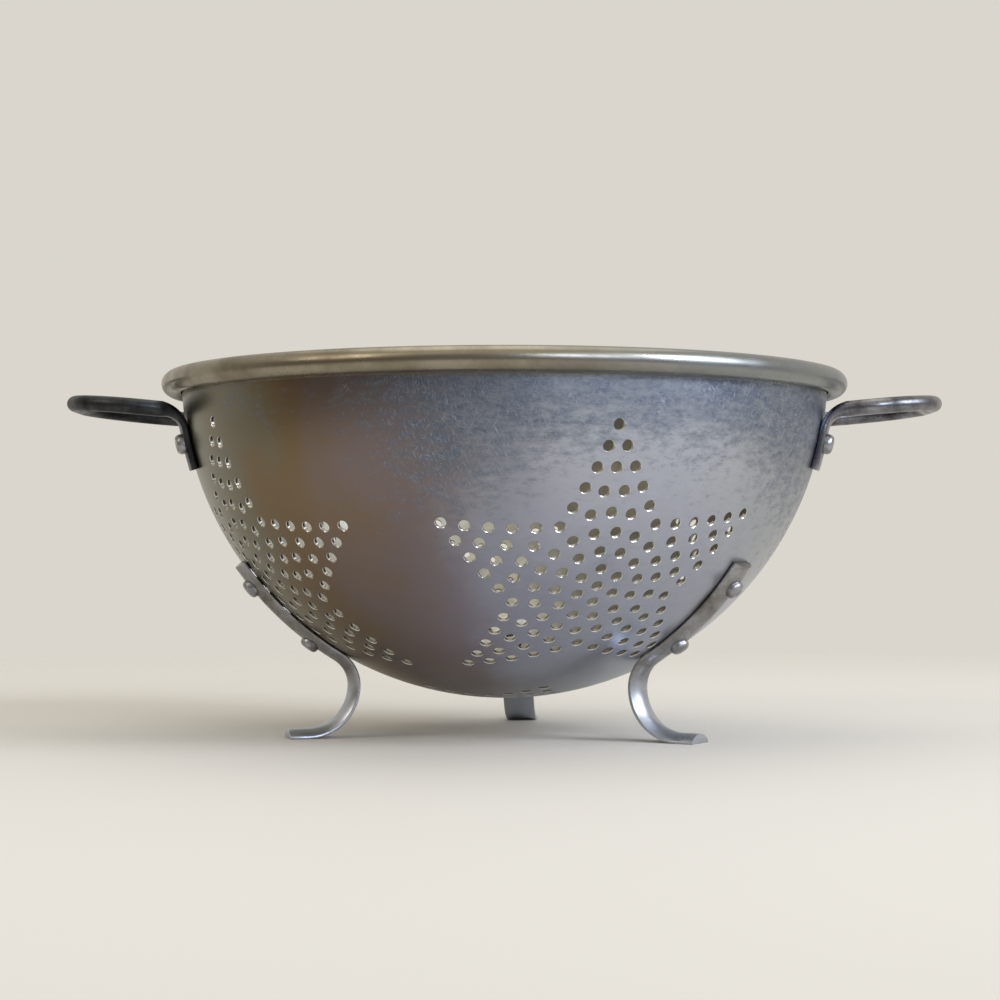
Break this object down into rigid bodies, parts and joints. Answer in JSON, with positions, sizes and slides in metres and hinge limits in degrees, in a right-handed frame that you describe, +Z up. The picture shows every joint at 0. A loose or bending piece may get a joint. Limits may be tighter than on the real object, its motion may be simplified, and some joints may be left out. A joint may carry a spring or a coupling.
{
  "type": "colander",
  "caption": "Footed half-round metal colander with rolled rim, star-shaped patterns of drain holes, riveted bar handles and riveted strap legs.",
  "frame": {"origin": "on the table under the middle of the bowl, level with the three feet", "axes": "+X towards the right handle, along the line through both handles; +Y towards the back leg, away from the viewer; +Z up"},
  "size_m": [0.3392, 0.266, 0.1398],
  "materials": {
    "bowl": "drawn sheet, satin from wear and scouring, with grey oxide bloom",
    "handle_left": "cast bar, darkened almost black by oxide and handling",
    "handle_right": "cast bar, gunmetal grey with rubbed bright tops",
    "leg": "half-oval bar, satin with rubbed edges",
    "rivet": "dull formed heads"
  },
  "bodies": {
    "root": {"bowl": "bowl", "handle_left": "handle_left", "handle_right": "handle_right", "leg_front_left": "leg", "leg_front_right": "leg", "leg_back": "leg", "rivet_leg_front_left_upper": "rivet", "rivet_leg_front_left_lower": "rivet", "rivet_leg_front_right_upper": "rivet", "rivet_leg_front_right_lower": "rivet", "rivet_leg_back_upper": "rivet", "rivet_leg_back_lower": "rivet", "rivet_handle_left_near": "rivet", "rivet_handle_left_far": "rivet", "rivet_handle_right_near": "rivet", "rivet_handle_right_far": "rivet"}
  },
  "joints": []
}
